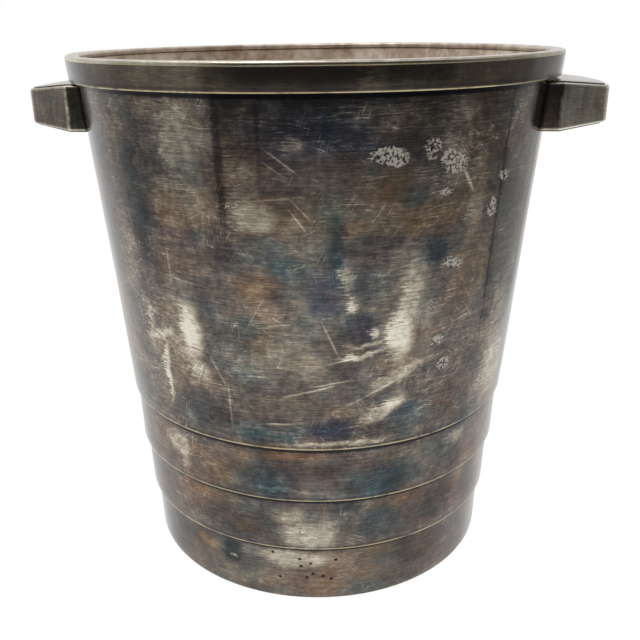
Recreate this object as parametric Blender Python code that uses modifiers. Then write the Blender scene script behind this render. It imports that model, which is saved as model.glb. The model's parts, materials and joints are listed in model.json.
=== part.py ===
"""Silver champagne bucket: a tapering bucket in nested sheet tiers, with an applied rim and two block handles.

Metres, +Z up. The origin is on the bucket's axis at the level it rests on, and the handles lie on X.
"""

import math

import bmesh
import bpy

# Driving dimensions
HEIGHT = 0.210
GAP = 0.0003  # left between pieces that touch on the real object, where the solder runs
STEPS = 72  # facets round each turned piece
SHARP_ANGLE = math.radians(25.0)
BODY_COLLECTION = "champagne_bucket"

# Tiers, from the top down: name, top height, top radius, bottom height and bottom radius of the face that shows
WALL_TOP = 0.2074
MAIN_WALL = ("body_wall", WALL_TOP, 0.09362, 0.0730, 0.08245)
UPPER_STEP = ("step_ring_upper", 0.0730, 0.08130, 0.0494, 0.08045)
LOWER_STEP = ("step_ring_lower", 0.0494, 0.07890, 0.0256, 0.07795)
BASE_TIER = ("base_ring", 0.0256, 0.07625, 0.0, 0.07520)
TUCK = 0.007  # how far each lower tier runs up inside the one above it
LIP_ROUND = 0.0003  # rounding of each tier's lower edge

# Base
BASE_SHEET = 0.0012
BASE_ROUND = 0.0010
RESTING_EDGE_WIDTH = 0.0060  # the base tier's sheet turned in flat under the bucket
FLOOR_SHEET = 0.0012
FLOOR_CLEARANCE = 0.0010  # room for solder between the floor's edge and the base tier

# Rim
BAND_BOTTOM = 0.2006
BAND_BOTTOM_RADIUS = 0.09650
BAND_EDGE = 0.0004
RIM_RADIUS = 0.09720
RIM_SEAM = 0.2088  # underside of the rim wire's outer flange
RIM_INNER_RADIUS = 0.0922
RIM_ROUND = 0.0011
RIM_ROUND_STEPS = 4

# Handles, in plan: x runs outwards from the axis, y is the half-width
HANDLE_LEVEL = 0.1904  # middle of the handle at its root
ROOT_HALF_WIDTH = 0.0321
CREASE_X = 0.0931
TIP_X = 0.1117
TIP_HALF_WIDTH = 0.0216
END_X = 0.1149  # middle of the bowed end
END_STEPS = 8
HANDLE_START_X = 0.078  # the pieces start inside the bucket and are cut back to its wall
# Half-heights of the handle's folded wall, at its root and at its end
ROOT_HALF_HEIGHT = 0.0081
TIP_HALF_HEIGHT = 0.0062
HANDLE_SHEET = 0.0010
COVER_SHEET = 0.0006
COVER_INSET = 0.0005  # how far the cover plates stand in from the folded wall's face


def clear_scene():
    for obj in list(bpy.data.objects):
        bpy.data.objects.remove(obj, do_unlink=True)


def new_collection(name):
    collection = bpy.data.collections.new(name)
    bpy.context.scene.collection.children.link(collection)
    return collection


def silver(name, colour, roughness):
    material = bpy.data.materials.new(name)
    material.use_nodes = True
    shader = material.node_tree.nodes["Principled BSDF"]
    shader.inputs["Base Color"].default_value = (*colour, 1.0)
    shader.inputs["Roughness"].default_value = roughness
    shader.inputs["Metallic"].default_value = 1.0
    return material


def add_object(name, mesh, collection, material=None, parent=None):
    obj = bpy.data.objects.new(name, mesh)
    if material:
        mesh.materials.append(material)
    obj.parent = parent
    collection.objects.link(obj)
    return obj


def add_empty(name, collection, location, turn, parent=None):
    empty = bpy.data.objects.new(name, None)
    empty.location = location
    empty.rotation_euler = (0.0, 0.0, turn)
    empty.parent = parent
    collection.objects.link(empty)
    return empty


def turned(name, profile, closed, collection, material=None, parent=None):
    """A profile of (radius, height) points, down its outer side, spun round the axis by a Screw modifier."""
    shape = bmesh.new()
    points = [shape.verts.new((radius, 0.0, height)) for radius, height in profile]
    followers = points[1:] + points[:1] if closed else points[1:]
    for start, end in zip(points, followers):
        shape.edges.new((start, end))
    mesh = bpy.data.meshes.new(name)
    shape.to_mesh(mesh)
    shape.free()
    obj = add_object(name, mesh, collection, material, parent)
    screw = obj.modifiers.new("Turn", "SCREW")
    screw.steps = STEPS
    screw.render_steps = STEPS
    screw.use_merge_vertices = True
    screw.merge_threshold = 0.0001
    return obj


def quarter_round(centre_radius, centre_height, size, start, steps):
    """Points of a quarter circle, turning clockwise from the start angle in degrees."""
    angles = [math.radians(start - 90.0 * step / steps) for step in range(steps + 1)]
    return [(centre_radius + size * math.cos(a), centre_height + size * math.sin(a)) for a in angles]


def line_radius(tier, height):
    """Outer radius of a tier's straight face, continued above or below the part that shows."""
    _, top, top_radius, bottom, bottom_radius = tier
    slope = (top_radius - bottom_radius) / (top - bottom)
    return bottom_radius + slope * (height - bottom)


def make_tier(tier, below, top, collection, material, parent):
    """A sheet ring whose lower edge overlaps the tier below it, so its sheet fills the step between the two."""
    name, _, _, bottom, bottom_radius = tier
    sheet = bottom_radius - below[2] - GAP
    top_radius = line_radius(tier, top)
    profile = [
        (top_radius, top),
        (line_radius(tier, bottom + LIP_ROUND), bottom + LIP_ROUND),
        (bottom_radius - LIP_ROUND, bottom),
        (bottom_radius - sheet, bottom),
        (top_radius - sheet, top),
    ]
    return turned(name, profile, True, collection, material, parent)


def make_base_ring(collection, material, parent):
    """The lowest tier, with its sheet turned in under the bucket as the edge that it rests on."""
    name, visible_top, _, bottom, bottom_radius = BASE_TIER
    top = visible_top + TUCK
    top_radius = line_radius(BASE_TIER, top)
    corner_radius = line_radius(BASE_TIER, bottom + BASE_ROUND)
    inner_edge = bottom_radius - RESTING_EDGE_WIDTH
    profile = [(top_radius, top)]
    profile += quarter_round(corner_radius - BASE_ROUND, bottom + BASE_ROUND, BASE_ROUND, 0.0, 3)
    profile += [
        (inner_edge, bottom),
        (inner_edge, bottom + BASE_SHEET),
        (line_radius(BASE_TIER, bottom + BASE_SHEET) - BASE_SHEET, bottom + BASE_SHEET),
        (top_radius - BASE_SHEET, top),
    ]
    return turned(name, profile, True, collection, material, parent)


def make_floor(collection, material, parent):
    """A flat disc lying on the base tier's turned-in edge."""
    underside = BASE_SHEET + GAP
    radius = line_radius(BASE_TIER, underside) - BASE_SHEET - FLOOR_CLEARANCE
    profile = [
        (0.0, underside + FLOOR_SHEET),
        (radius, underside + FLOOR_SHEET),
        (radius, underside),
        (0.0, underside),
    ]
    return turned("floor_disc", profile, False, collection, material, parent)


def make_rim_band(collection, material, parent):
    """The flat applied band that stands out from the top of the wall."""
    top = RIM_SEAM - GAP
    profile = [
        (RIM_RADIUS, top),
        (BAND_BOTTOM_RADIUS, BAND_BOTTOM + BAND_EDGE),
        (BAND_BOTTOM_RADIUS - BAND_EDGE, BAND_BOTTOM),
        (line_radius(MAIN_WALL, BAND_BOTTOM) + GAP, BAND_BOTTOM),
        (line_radius(MAIN_WALL, top) + GAP, top),
    ]
    return turned("rim_band", profile, True, collection, material, parent)


def make_rim_wire(collection, material, parent):
    """The rounded moulding that caps the wall and the band, with a rebate that seats on the wall's edge."""
    rebate = line_radius(MAIN_WALL, RIM_SEAM - GAP)
    seat = WALL_TOP + GAP
    crest = HEIGHT - RIM_ROUND
    profile = quarter_round(RIM_RADIUS - RIM_ROUND, crest, RIM_ROUND, 90.0, RIM_ROUND_STEPS)
    profile += [(RIM_RADIUS, RIM_SEAM), (rebate, RIM_SEAM), (rebate, seat), (RIM_INNER_RADIUS, seat)]
    profile += quarter_round(RIM_INNER_RADIUS + RIM_ROUND, crest, RIM_ROUND, 180.0, RIM_ROUND_STEPS)
    return turned("rim_wire", profile, True, collection, material, parent)


def make_wall_cutter(collection):
    """A solid of the main wall's outside plus the gap, which cuts each handle piece back to the wall."""
    top, bottom = WALL_TOP, BASE_TIER[1]
    profile = [
        (0.0, top),
        (line_radius(MAIN_WALL, top) + GAP, top),
        (line_radius(MAIN_WALL, bottom) + GAP, bottom),
        (0.0, bottom),
    ]
    cutter = turned("wall_cutter", profile, False, collection)
    cutter.hide_render = True
    cutter.display_type = "WIRE"
    return cutter


def handle_outline(inset):
    """Plan points of one handle: out along one side, round the bowed end and back along the other side."""
    root_y = ROOT_HALF_WIDTH - inset
    tip_y = TIP_HALF_WIDTH - inset
    side = [(HANDLE_START_X, -root_y), (CREASE_X, -root_y)]
    end = []
    for step in range(END_STEPS + 1):
        share = 2.0 * step / END_STEPS - 1.0
        end.append((END_X - inset - (END_X - TIP_X) * share * share, tip_y * share))
    return side + end + [(x, -y) for x, y in reversed(side)]


def half_height(x):
    """Half-height of the folded wall: level from the bucket to the crease, then tapering to the end."""
    taper = (ROOT_HALF_HEIGHT - TIP_HALF_HEIGHT) / (TIP_X - CREASE_X)
    return ROOT_HALF_HEIGHT - taper * max(0.0, x - CREASE_X)


def finish(collection):
    """Applies each piece's modifiers, and shades it smooth except across its real edges."""
    bpy.context.view_layer.update()
    graph = bpy.context.evaluated_depsgraph_get()
    pieces = [obj for obj in collection.objects if obj.type == "MESH"]
    applied = [bpy.data.meshes.new_from_object(obj.evaluated_get(graph)) for obj in pieces]
    for obj, mesh in zip(pieces, applied):
        obj.modifiers.clear()
        obj.data = mesh
        mesh.name = obj.name
        mesh.shade_smooth()
        mesh.set_sharp_from_angle(angle=SHARP_ANGLE)


def cut_back(obj, cutter):
    boolean = obj.modifiers.new("Fit to wall", "BOOLEAN")
    boolean.operation = "DIFFERENCE"
    boolean.solver = "EXACT"
    boolean.object = cutter


def thicken(obj, thickness, offset):
    solidify = obj.modifiers.new("Sheet", "SOLIDIFY")
    solidify.thickness = thickness
    solidify.offset = offset
    solidify.use_even_offset = True


def make_handle_wall(name, cutter, collection, material, parent):
    """One strip of sheet folded round both sides and the end of a handle."""
    shape = bmesh.new()
    lower = [shape.verts.new((x, y, -half_height(x))) for x, y in handle_outline(0.0)]
    edges = [shape.edges.new(pair) for pair in zip(lower, lower[1:])]
    raised = bmesh.ops.extrude_edge_only(shape, edges=edges)["geom"]
    for point in raised:
        if isinstance(point, bmesh.types.BMVert):
            point.co.z = half_height(point.co.x)
    bmesh.ops.recalc_face_normals(shape, faces=shape.faces)
    mesh = bpy.data.meshes.new(name)
    shape.to_mesh(mesh)
    shape.free()
    obj = add_object(name, mesh, collection, material, parent)
    thicken(obj, HANDLE_SHEET, -1.0)
    cut_back(obj, cutter)
    return obj


def make_cover_plate(name, side, cutter, collection, material, parent):
    """The thin plate that closes a handle above (side 1) or below (side -1), bent at the crease."""
    shape = bmesh.new()
    outline = handle_outline(COVER_INSET)
    points = [shape.verts.new((x, y, side * (half_height(x) + GAP))) for x, y in outline]
    root = [points[0], points[1], points[-2], points[-1]]
    shape.faces.new(root)
    shape.faces.new(points[1:-1])
    bmesh.ops.recalc_face_normals(shape, faces=shape.faces)
    if sum(face.normal.z for face in shape.faces) * side < 0.0:
        bmesh.ops.reverse_faces(shape, faces=shape.faces)
    mesh = bpy.data.meshes.new(name)
    shape.to_mesh(mesh)
    shape.free()
    obj = add_object(name, mesh, collection, material, parent)
    thicken(obj, COVER_SHEET, 1.0)
    cut_back(obj, cutter)
    return obj


def make_handle(side_name, turn, cutter, collection, parent):
    wall_finish = silver(f"handle_{side_name}_silver", (0.17, 0.155, 0.145), 0.42)
    plate_finish = silver(f"handle_{side_name}_cover_silver", (0.36, 0.34, 0.31), 0.38)
    mount = add_empty(f"handle_{side_name}_place", collection, (0.0, 0.0, HANDLE_LEVEL), turn, parent)
    start = f"handle_{side_name}"
    make_handle_wall(f"{start}_wall", cutter, collection, wall_finish, mount)
    make_cover_plate(f"{start}_top_plate", 1, cutter, collection, plate_finish, mount)
    make_cover_plate(f"{start}_bottom_plate", -1, cutter, collection, plate_finish, mount)


def main():
    clear_scene()
    collection = new_collection(BODY_COLLECTION)
    cutters = new_collection("cutters")
    axis = add_empty("bucket_axis", collection, (0.0, 0.0, 0.0), 0.0)

    wall_silver = silver("body_silver", (0.24, 0.22, 0.21), 0.36)
    upper_step_silver = silver("upper_step_silver", (0.23, 0.21, 0.19), 0.36)
    lower_step_silver = silver("lower_step_silver", (0.24, 0.21, 0.19), 0.36)
    base_silver = silver("base_silver", (0.25, 0.22, 0.20), 0.38)
    floor_silver = silver("floor_silver", (0.30, 0.26, 0.23), 0.45)
    band_silver = silver("band_silver", (0.19, 0.18, 0.16), 0.38)
    wire_silver = silver("rim_wire_silver", (0.66, 0.61, 0.50), 0.28)

    make_tier(MAIN_WALL, UPPER_STEP, WALL_TOP, collection, wall_silver, axis)
    make_tier(UPPER_STEP, LOWER_STEP, UPPER_STEP[1] + TUCK, collection, upper_step_silver, axis)
    make_tier(LOWER_STEP, BASE_TIER, LOWER_STEP[1] + TUCK, collection, lower_step_silver, axis)
    make_base_ring(collection, base_silver, axis)
    make_floor(collection, floor_silver, axis)
    make_rim_band(collection, band_silver, axis)
    make_rim_wire(collection, wire_silver, axis)

    cutter = make_wall_cutter(cutters)
    make_handle("right", 0.0, cutter, collection, axis)
    make_handle("left", math.pi, cutter, collection, axis)
    finish(collection)


main()
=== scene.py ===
# %% [markdown]
# # A tarnished silver champagne bucket
#
# The real bucket is silver plate on brass. Four sheet tiers are nested and soldered, a flat
# band and a rounded wire strengthen the rim, and two block handles are folded from strip.
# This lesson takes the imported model, which has every piece at its true size, and gives each
# piece a finer surface and a finish: plate that has gone brown, purple and blue, and that
# years of polishing have worn bright in places.

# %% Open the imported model
import json
import math

import bmesh
import bpy
from mathutils import Matrix, Vector, noise

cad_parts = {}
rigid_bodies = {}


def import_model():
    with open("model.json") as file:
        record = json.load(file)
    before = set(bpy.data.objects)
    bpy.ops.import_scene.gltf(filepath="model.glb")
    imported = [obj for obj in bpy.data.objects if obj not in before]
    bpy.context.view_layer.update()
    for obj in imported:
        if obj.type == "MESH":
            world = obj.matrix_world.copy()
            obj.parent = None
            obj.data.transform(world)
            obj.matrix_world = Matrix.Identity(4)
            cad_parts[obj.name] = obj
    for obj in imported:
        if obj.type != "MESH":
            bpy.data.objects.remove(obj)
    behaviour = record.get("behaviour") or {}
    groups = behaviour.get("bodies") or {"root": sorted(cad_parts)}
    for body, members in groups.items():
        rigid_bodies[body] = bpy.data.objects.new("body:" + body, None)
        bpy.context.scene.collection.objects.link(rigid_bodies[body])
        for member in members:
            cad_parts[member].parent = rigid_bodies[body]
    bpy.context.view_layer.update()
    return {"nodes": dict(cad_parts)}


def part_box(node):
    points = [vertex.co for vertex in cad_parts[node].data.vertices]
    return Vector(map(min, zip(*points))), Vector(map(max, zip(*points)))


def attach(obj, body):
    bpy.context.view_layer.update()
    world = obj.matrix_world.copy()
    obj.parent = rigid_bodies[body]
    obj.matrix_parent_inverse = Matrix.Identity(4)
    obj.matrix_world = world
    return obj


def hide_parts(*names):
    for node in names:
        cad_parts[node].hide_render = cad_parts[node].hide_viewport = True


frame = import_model()
nodes = frame["nodes"]
MM = 0.001
print("Nodes:", ", ".join(sorted(nodes)))

# %% [markdown]
# ## The camera
#
# The bucket is seen from a little above its rim, close by, with its handles turned a few
# degrees so that the right one comes forward. A camera needs a place, a heading, a pitch and a
# lens. Pointing it by three angles keeps each of them readable, where a Track To constraint
# would hide the small roll.

# %% Place the camera
CAMERA_PLACE = (0.0279, -0.3355, 0.2208)
CAMERA_HEADING = 5.63  # degrees, turned towards the left handle
CAMERA_PITCH = 20.75  # degrees below the horizon
CAMERA_ROLL = -0.81
LENS = 44.4  # millimetres, on a 36 mm sensor
SIDE_SHIFT = 0.0234


def add_camera():
    """The one camera of the scene, at its angles."""
    data = bpy.data.cameras.new("camera")
    data.lens = LENS
    data.shift_x = SIDE_SHIFT
    data.clip_start = 0.01
    camera = bpy.data.objects.new("camera", data)
    camera.location = CAMERA_PLACE
    turn = Matrix.Rotation(math.radians(CAMERA_HEADING), 3, "Z")
    tilt = Matrix.Rotation(math.radians(90.0 - CAMERA_PITCH), 3, "X")
    roll = Matrix.Rotation(math.radians(CAMERA_ROLL), 3, "Z")
    camera.rotation_euler = (turn @ tilt @ roll).to_euler()
    bpy.context.scene.collection.objects.link(camera)
    bpy.context.scene.camera = camera


add_camera()
print("Camera: lens", LENS, "mm, pitched", CAMERA_PITCH, "degrees down")

# %% [markdown]
# ## Reading sizes off the model
#
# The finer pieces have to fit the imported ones, so their sizes are read from them. A turned
# piece is known by its corners: the radius at its top and bottom edge, outside and inside.

# %% Read the turned pieces
EDGE_REACH = 0.5 * MM


def corner(node, top, outside):
    """(radius, height) at the top or bottom edge of a turned node, outside or inside."""
    low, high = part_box(node)
    level = high.z if top else low.z
    edge = [v.co.xy.length for v in nodes[node].data.vertices if abs(v.co.z - level) < EDGE_REACH]
    return (max(edge) if outside else min(edge)), level


def sheet_profile(node):
    """The four corners of a sheet ring, down its outer side and up its inner side."""
    return [corner(node, True, True), corner(node, False, True),
            corner(node, False, False), corner(node, True, False)]


def radius_on(profile, height):
    """Radius of a sheet ring's outer face at a height."""
    (top_radius, top), (low_radius, low) = profile[0], profile[1]
    return low_radius + (top_radius - low_radius) * (height - low) / (top - low)


wall_profile = sheet_profile("body_wall")
print("Wall corners, mm:", [(round(r / MM, 2), round(z / MM, 2)) for r, z in wall_profile])

# %% [markdown]
# ## Turning a piece
#
# A lathe or a spinner turns a flat outline into a round piece, and Blender's spin does the same
# to a wire outline. The corners are then rounded with a bevel on their rings, the tall faces get
# rows, and every point is pushed a tenth or two of a millimetre by a smooth noise. That last
# step is what hand work does to sheet metal: reflections and lips run slightly uneven. One noise
# moves all pieces alike, so nested tiers keep their fit.

# %% A lathe in Blender
ROUND_STEPS = 360
ROW = 4.0 * MM
SMOOTH_ANGLE = math.radians(40.0)
SLOW_WAVE = 14.0  # waves to the metre
QUICK_WAVE = 55.0
SLOW_DEPTH = 0.30 * MM
QUICK_DEPTH = 0.07 * MM


def hand_worked(place):
    """The place after the unevenness of hand work, which is sideways on a wall and upwards on a lip."""
    outwards = Vector((place.x, place.y, 0.0))
    if outwards.length < MM:
        return place
    outwards.normalize()
    slow = noise.noise(place * SLOW_WAVE)
    quick = noise.noise(place * QUICK_WAVE)
    lift = noise.noise(place * SLOW_WAVE + Vector((7.0, 3.0, 5.0))) * min(1.0, place.z / (20 * MM))
    return place + outwards * (SLOW_DEPTH * slow + QUICK_DEPTH * quick) + Vector((0, 0, SLOW_DEPTH * lift))


def near(vert, point):
    radius, height = point
    return abs(vert.co.xy.length - radius) < 1e-6 and abs(vert.co.z - height) < 1e-6


def soften_ring(shape, point, size, segments):
    """Rounds the ring of edges that runs through one corner of the outline."""
    ring = [e for e in shape.edges if near(e.verts[0], point) and near(e.verts[1], point)]
    bmesh.ops.bevel(shape, geom=ring, offset=size, offset_type="OFFSET", affect="EDGES",
                    segments=segments, profile=0.5, material=-1)


def add_rows(shape):
    """Cuts faces taller than a row into rows."""
    for cuts in range(40, 0, -1):
        tall = [e for e in shape.edges if cuts <= e.calc_length() / ROW < cuts + 1]
        tall = [e for e in tall if abs(e.verts[0].co.xy.length - e.verts[1].co.xy.length) > 1e-5
                or abs(e.verts[0].co.z - e.verts[1].co.z) > MM]
        if tall:
            bmesh.ops.subdivide_edges(shape, edges=tall, cuts=cuts, use_grid_fill=True)


def finish_piece(name, shape, replaced, material):
    """Makes the mesh an object, smooth over its curves, that stands for its CAD nodes."""
    mesh = bpy.data.meshes.new(name)
    shape.to_mesh(mesh)
    shape.free()
    mesh.shade_smooth()
    mesh.set_sharp_from_angle(angle=SMOOTH_ANGLE)
    piece = bpy.data.objects.new(name, mesh)
    bpy.context.scene.collection.objects.link(piece)
    mesh.materials.append(material)
    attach(piece, "root")
    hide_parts(replaced)
    print(f"{name}: {len(mesh.polygons)} faces")
    return piece


def turned(outline, rounds):
    """Spins a closed outline of (radius, height) points, then rounds the corners in rounds."""
    shape = bmesh.new()
    points = [shape.verts.new((radius, 0.0, height)) for radius, height in outline]
    edges = [shape.edges.new(pair) for pair in zip(points, points[1:] + points[:1])]
    bmesh.ops.spin(shape, geom=points + edges, axis=(0, 0, 1), cent=(0, 0, 0), dvec=(0, 0, 0),
                   angle=math.tau, steps=ROUND_STEPS, use_merge=True, use_duplicate=False)
    bmesh.ops.remove_doubles(shape, verts=shape.verts, dist=1e-6)
    bmesh.ops.recalc_face_normals(shape, faces=shape.faces)
    for index, size, segments in rounds:
        soften_ring(shape, outline[index], size, segments)
    add_rows(shape)
    for vert in shape.verts:
        vert.co = hand_worked(vert.co)
    return shape


print("Lathe:", ROUND_STEPS, "steps round, in rows of", ROW / MM, "mm")

# %% [markdown]
# ## Writing shader maths as Python
#
# A finish is a small calculation on the place of each point. Written as nodes in code it gets
# long, so one small class wraps a node's socket and overloads + - * and /. An expression such
# as 1 - mask then adds its Math nodes by itself, and one method adds every other kind of node.

# %% Two small helpers for materials
class Value:
    """A node's output that can be calculated with."""

    def __init__(self, recipe, socket):
        self.recipe = recipe
        self.socket = socket

    def math(self, operation, *others):
        return self.recipe.add("ShaderNodeMath", {"operation": operation}, dict(enumerate([self, *others])))

    def __add__(self, other):
        return self.math("ADD", other)

    def __sub__(self, other):
        return self.math("SUBTRACT", other)

    def __mul__(self, other):
        return self.math("MULTIPLY", other)

    def __truediv__(self, other):
        return self.math("DIVIDE", other)

    def __rsub__(self, other):
        return self.recipe.add("ShaderNodeMath", {"operation": "SUBTRACT"}, {0: other, 1: self})

    __radd__ = __add__
    __rmul__ = __mul__


class Recipe:
    """A material being written: add() puts in any node, settings first and then its inputs."""

    def __init__(self, tree):
        self.tree = tree
        tree.nodes.clear()

    def add(self, kind, settings=None, inputs=None, output=0):
        node = self.tree.nodes.new(kind)
        for name, value in (settings or {}).items():
            if name == "stops":
                ramp = node.color_ramp
                while len(ramp.elements) < len(value):
                    ramp.elements.new(1.0)
                for element, (position, colour) in zip(ramp.elements, value):
                    element.position = position
                    element.color = (*colour, 1.0)
            else:
                setattr(node, name, value)
        for key, value in (inputs or {}).items():
            if isinstance(value, Value):
                self.tree.links.new(value.socket, node.inputs[key])
            else:
                node.inputs[key].default_value = value
        return Value(self, node.outputs[output])

    def noise(self, vector, scale, detail=4.0, roughness=0.55, output=0):
        inputs = {"Vector": vector, "Scale": scale, "Detail": detail, "Roughness": roughness}
        return self.add("ShaderNodeTexNoise", None, inputs, output)

    def step(self, value, start, end):
        """0 before start, 1 after end and a smooth rise between; start may be the larger."""
        inputs = {"Value": value, "From Min": start, "From Max": end}
        return self.add("ShaderNodeMapRange", {"interpolation_type": "SMOOTHSTEP"}, inputs)

    def stretch(self, vector, scale, turn=0.0):
        inputs = {"Vector": vector, "Scale": scale, "Rotation": (0.0, 0.0, math.radians(turn))}
        return self.add("ShaderNodeMapping", {"vector_type": "POINT"}, inputs)

    def mix(self, factor, first, second, blend="MIX"):
        settings = {"data_type": "RGBA", "blend_type": blend, "clamp_factor": True}
        return self.add("ShaderNodeMix", settings, {0: factor, 6: first, 7: second}, output=2)

    def output(self, shader):
        self.add_output("ShaderNodeOutputMaterial", shader)

    def add_output(self, kind, shader):
        node = self.tree.nodes.new(kind)
        self.tree.links.new(shader.socket, node.inputs["Surface"])


# %% [markdown]
# ## The studio
#
# Silver shows its surroundings more than itself. On the real set the bucket stands on white
# paper that ends a little way in front of it, with a dim room beyond. So the wall is dark where
# it mirrors the room, near the top, and light where it mirrors the paper. The floor and the
# world here do the same. What the camera sees of them directly stays plain white, which the
# Light Path node tells apart from what reflections see.
#
# Two light boards stand upright, one at each side, and only reflections see them. Each has a
# dark edge: a dark board just behind the right one, and a narrow stand at the end of the left
# one. They give the sides of the wall their light stripes with a dark line beside them.

# %% Build the floor, the world and the lamps
FLOOR_RADIUS = 2.5
ROOM_FRONT = (0.055, 0.054, 0.058)
ROOM_SIDE = (0.30, 0.30, 0.30)
ROOM_BACK = (1.0, 1.0, 1.0)
BRIGHTEST = (-0.28, 0.96)  # the direction, along X and Y, in which the room is brightest
PAPER_FADE = (0.28, 0.80)  # metres from the middle over which the paper gives way to the room
PLAIN_WHITE = (1.0, 1.0, 1.0, 1.0)
PAPER_WHITE = (1.0, 1.0, 0.99, 1.0)
CEILING = (0.95, 0.95, 0.95, 1.0)
BOARD_TOP = 0.9  # metres


def studio_light(recipe, direction_y, direction_x):
    """Colour of the room round the set: dim in front, grey at the sides, white behind."""
    leaned = direction_y * BRIGHTEST[1] + direction_x * BRIGHTEST[0]
    stops = [(0.0, ROOM_FRONT), (0.12, (0.06, 0.06, 0.065)), (0.30, (0.17, 0.17, 0.17)),
             (0.50, ROOM_SIDE), (0.72, (0.70,) * 3), (0.88, ROOM_BACK)]
    return recipe.add("ShaderNodeValToRGB", {"stops": stops}, {"Fac": leaned * 0.5 + 0.5})


def dress_floor(material):
    material.use_nodes = True
    recipe = Recipe(material.node_tree)
    place = recipe.add("ShaderNodeTexCoord", output=3)
    x = recipe.add("ShaderNodeSeparateXYZ", None, {0: place}, 0)
    y = recipe.add("ShaderNodeSeparateXYZ", None, {0: place}, 1)
    distance = recipe.add("ShaderNodeVectorMath", {"operation": "LENGTH"}, {0: place}, 1)
    room = studio_light(recipe, y / distance, x / distance)
    seen = recipe.mix(recipe.step(distance, *PAPER_FADE), PAPER_WHITE, room)
    camera_ray = recipe.add("ShaderNodeLightPath", output=0)
    seen = recipe.mix(camera_ray, seen, PLAIN_WHITE)
    recipe.output(recipe.add("ShaderNodeEmission", None, {"Color": seen}))


def add_floor():
    shape = bmesh.new()
    bmesh.ops.create_circle(shape, cap_ends=True, radius=FLOOR_RADIUS, segments=96)
    mesh = bpy.data.meshes.new("floor")
    shape.to_mesh(mesh)
    shape.free()
    floor = bpy.data.objects.new("floor", mesh)
    bpy.context.scene.collection.objects.link(floor)
    material = bpy.data.materials.new("white_paper")
    dress_floor(material)
    mesh.materials.append(material)


def add_world():
    world = bpy.data.worlds.new("studio")
    bpy.context.scene.world = world
    world.use_nodes = True
    recipe = Recipe(world.node_tree)
    direction = recipe.add("ShaderNodeTexCoord", output=0)
    x = recipe.add("ShaderNodeSeparateXYZ", None, {0: direction}, 0)
    y = recipe.add("ShaderNodeSeparateXYZ", None, {0: direction}, 1)
    z = recipe.add("ShaderNodeSeparateXYZ", None, {0: direction}, 2)
    room = studio_light(recipe, y, x)
    overhead = recipe.step(z, 0.35, 0.8)
    seen = recipe.mix(overhead, room, CEILING)
    camera_ray = recipe.add("ShaderNodeLightPath", output=0)
    seen = recipe.mix(camera_ray, seen, PLAIN_WHITE)
    recipe.add_output("ShaderNodeOutputWorld", recipe.add("ShaderNodeBackground", None, {"Color": seen}))


def add_lamp(name, place, size, power):
    data = bpy.data.lights.new(name, "AREA")
    data.size = size
    data.energy = power
    lamp = bpy.data.objects.new(name, data)
    lamp.location = place
    lamp.rotation_euler = (Vector((0, 0, 0.12)) - Vector(place)).to_track_quat("-Z", "Y").to_euler()
    bpy.context.scene.collection.objects.link(lamp)


def add_board(name, start, end, low, grey, rounded=0.0):
    """An upright board that only reflections see, from start to end on the floor."""
    shape = bmesh.new()
    bmesh.ops.create_grid(shape, x_segments=1, y_segments=1, size=0.5)
    along = end - start
    bmesh.ops.scale(shape, verts=shape.verts, vec=(along.length, BOARD_TOP - low, 1.0))
    if rounded:
        corner_verts = [v for v in shape.verts if v.co.y < 0.0 and v.co.x > 0.0]
        bmesh.ops.bevel(shape, geom=corner_verts, offset=rounded, offset_type="OFFSET", affect="VERTICES",
                        segments=8, profile=0.5, material=-1)
    upright = Matrix.Rotation(math.radians(90.0), 4, "X")
    stand = Matrix.Rotation(math.atan2(along.y, along.x), 4, "Z") @ upright
    middle = (start + end) / 2
    place = Matrix.Translation((middle.x, middle.y, (low + BOARD_TOP) / 2)) @ stand
    bmesh.ops.transform(shape, matrix=place, verts=shape.verts)
    mesh = bpy.data.meshes.new(name)
    shape.to_mesh(mesh)
    shape.free()
    board = bpy.data.objects.new(name, mesh)
    bpy.context.scene.collection.objects.link(board)
    material = bpy.data.materials.new(name)
    material.use_nodes = True
    recipe = Recipe(material.node_tree)
    recipe.output(recipe.add("ShaderNodeEmission", None, {"Color": (grey, grey, grey * 0.99, 1.0)}))
    mesh.materials.append(material)
    board.visible_camera = False
    board.visible_diffuse = False
    board.visible_shadow = False


RIGHT_START = Vector((0.285, 0.035))
RIGHT_END = Vector((0.240, 0.265))
BEHIND = 1.03  # how much farther out the dark board stands than the light one before it
FRAME = Vector((-0.00115, 0.0059))  # how far the dark board reaches past each end
LEFT_START = Vector((-0.46, -0.10))
LEFT_END = Vector((-0.30, -0.375))
STAND_END = Vector((-0.292, -0.388))
add_floor()
add_world()
add_board("right_board", RIGHT_START, RIGHT_END, 0.004, 0.58, 0.05)
add_board("right_board_edge", RIGHT_START * BEHIND - FRAME, RIGHT_END * BEHIND + FRAME, 0.0, 0.02, 0.055)
add_board("left_board", LEFT_START, LEFT_END, 0.02, 0.50)
add_board("left_stand", LEFT_END, STAND_END, 0.0, 0.01)
add_lamp("overhead_softbox", (-0.35, -0.25, 1.1), 0.8, 6.0)
bpy.context.scene.view_settings.view_transform = "Standard"
boards = [thing.name for thing in bpy.data.objects if thing.name.startswith(("left_", "right_"))]
print("Boards that only reflections see:", ", ".join(boards))
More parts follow.
